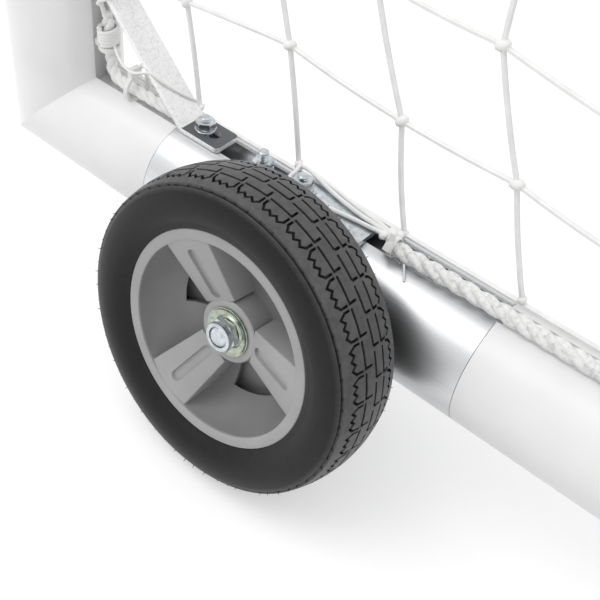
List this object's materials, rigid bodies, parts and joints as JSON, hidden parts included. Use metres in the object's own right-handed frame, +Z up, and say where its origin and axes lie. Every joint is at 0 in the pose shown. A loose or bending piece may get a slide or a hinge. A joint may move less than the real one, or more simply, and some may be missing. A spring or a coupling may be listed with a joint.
{
  "type": "portable goal net",
  "caption": "Portable goal-type net: round grooved tube frame with slanted back stays, knotted square-mesh net panels and cambered flat-free wheels at both sides.",
  "frame": {"origin": "on the ground, under the middle of the frame", "axes": "+Z up, -Y out of the mouth, +X to the right of someone who looks along +Y into the mouth"},
  "size_m": [3.1574, 1.3016, 1.4716],
  "materials": {
    "white_powder_coat": "white powder coat on extruded aluminium",
    "satin_aluminium": "satin mill finish",
    "mill_aluminium": "mill finish",
    "galvanised_steel": "galvanised",
    "zinc_plated_steel": "bright zinc plate",
    "yellow_zinc_steel": "yellow passivated zinc",
    "tyre_foam": "moulded, matt",
    "rim_plastic": "moulded, fine grain",
    "net_twine": "knotted white twine",
    "rope_fibre": "laid white rope",
    "tie_plastic": "natural nylon"
  },
  "bodies": {
    "frame": {"axle_bolts": "zinc_plated_steel", "axle_bracket_front_left": "zinc_plated_steel", "axle_bracket_front_right": "zinc_plated_steel", "axle_bracket_rear_left": "zinc_plated_steel", "axle_bracket_rear_right": "zinc_plated_steel", "axle_nuts": "zinc_plated_steel", "axle_sleeves": "zinc_plated_steel", "axle_washers": "zinc_plated_steel", "back_stay_left": "white_powder_coat", "back_stay_right": "white_powder_coat", "border_rope_left": "rope_fibre", "border_rope_right": "rope_fibre", "brace_left": "galvanised_steel", "brace_right": "galvanised_steel", "cable_ties": "tie_plastic", "corner_front_left": "white_powder_coat", "corner_front_right": "white_powder_coat", "corner_rear_left": "white_powder_coat", "corner_rear_right": "white_powder_coat", "corner_top_left": "white_powder_coat", "corner_top_right": "white_powder_coat", "crossbar": "white_powder_coat", "flat_washers": "zinc_plated_steel", "groove_bolts": "zinc_plated_steel", "hex_nuts": "zinc_plated_steel", "joint_spigots_left": "mill_aluminium", "joint_spigots_right": "mill_aluminium", "net_back_left": "net_twine", "net_back_right": "net_twine", "net_side_left": "net_twine", "net_side_right": "net_twine", "net_top": "net_twine", "post_left": "white_powder_coat", "post_right": "white_powder_coat", "rear_bar": "white_powder_coat", "rear_top_bar": "white_powder_coat", "side_bar_left": "white_powder_coat", "side_bar_right": "white_powder_coat", "stay_elbow_left": "white_powder_coat", "stay_elbow_right": "white_powder_coat", "top_stay_left": "white_powder_coat", "top_stay_right": "white_powder_coat", "wheel_section_front_left": "satin_aluminium", "wheel_section_front_right": "satin_aluminium", "wheel_section_rear_left": "satin_aluminium", "wheel_section_rear_right": "satin_aluminium"},
    "wheel_front_left": {"tyre_front_left": "tyre_foam", "rim_front_left": "rim_plastic", "bearings_front_left": "yellow_zinc_steel"},
    "wheel_front_right": {"tyre_front_right": "tyre_foam", "rim_front_right": "rim_plastic", "bearings_front_right": "yellow_zinc_steel"},
    "wheel_rear_left": {"tyre_rear_left": "tyre_foam", "rim_rear_left": "rim_plastic", "bearings_rear_left": "yellow_zinc_steel"},
    "wheel_rear_right": {"tyre_rear_right": "tyre_foam", "rim_rear_right": "rim_plastic", "bearings_rear_right": "yellow_zinc_steel"}
  },
  "joints": [
    {"name": "wheel_front_left_spin", "type": "hinge", "parent": "frame", "child": "wheel_front_left", "pos_m": [-1.52387, -0.2881, 0.12632], "axis": [-0.9816, 0, 0.1908], "continuous": true},
    {"name": "wheel_front_right_spin", "type": "hinge", "parent": "frame", "child": "wheel_front_right", "pos_m": [1.52387, -0.2881, 0.12632], "axis": [0.9816, 0, 0.1908], "continuous": true},
    {"name": "wheel_rear_left_spin", "type": "hinge", "parent": "frame", "child": "wheel_rear_left", "pos_m": [-1.52387, 0.2881, 0.12632], "axis": [-0.9816, 0, 0.1908], "continuous": true},
    {"name": "wheel_rear_right_spin", "type": "hinge", "parent": "frame", "child": "wheel_rear_right", "pos_m": [1.52387, 0.2881, 0.12632], "axis": [0.9816, 0, 0.1908], "continuous": true}
  ]
}
